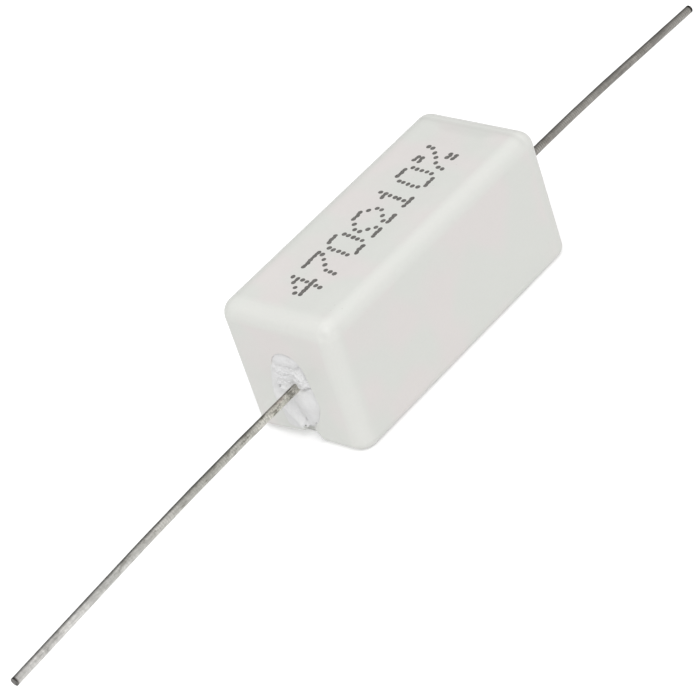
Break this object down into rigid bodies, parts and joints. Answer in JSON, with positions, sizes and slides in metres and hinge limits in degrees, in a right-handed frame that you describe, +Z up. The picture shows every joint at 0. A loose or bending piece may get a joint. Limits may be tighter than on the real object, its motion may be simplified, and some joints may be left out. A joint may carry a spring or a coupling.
{
  "type": "axial power resistor",
  "caption": "Ceramic-cased cement wirewound power resistor: a white open-bottomed box with a straight wire lead out of each end.",
  "frame": {"origin": "centre of the case's flat bottom, which the part rests on", "axes": "+X along the leads, towards the shorter one; +Z up, out of the printed top; +Y completes the right-handed frame"},
  "size_m": [0.071, 0.0092, 0.0097],
  "materials": {
    "ceramic_case": "white, faintly warm, satin with a fine grain",
    "cement_fill": "white potting cement, rough and crumbly",
    "core_rod": "ivory, unglazed",
    "resistance_wire": "dull nickel alloy wire",
    "end_caps": "pressed sheet, dull",
    "leads": "tinned wire, tarnished and mottled"
  },
  "bodies": {
    "root": {"ceramic_case": "ceramic_case", "cement_fill": "cement_fill", "core_rod": "core_rod", "resistance_wire": "resistance_wire", "end_cap_left": "end_caps", "end_cap_right": "end_caps", "lead_left": "leads", "lead_right": "leads"}
  },
  "joints": []
}
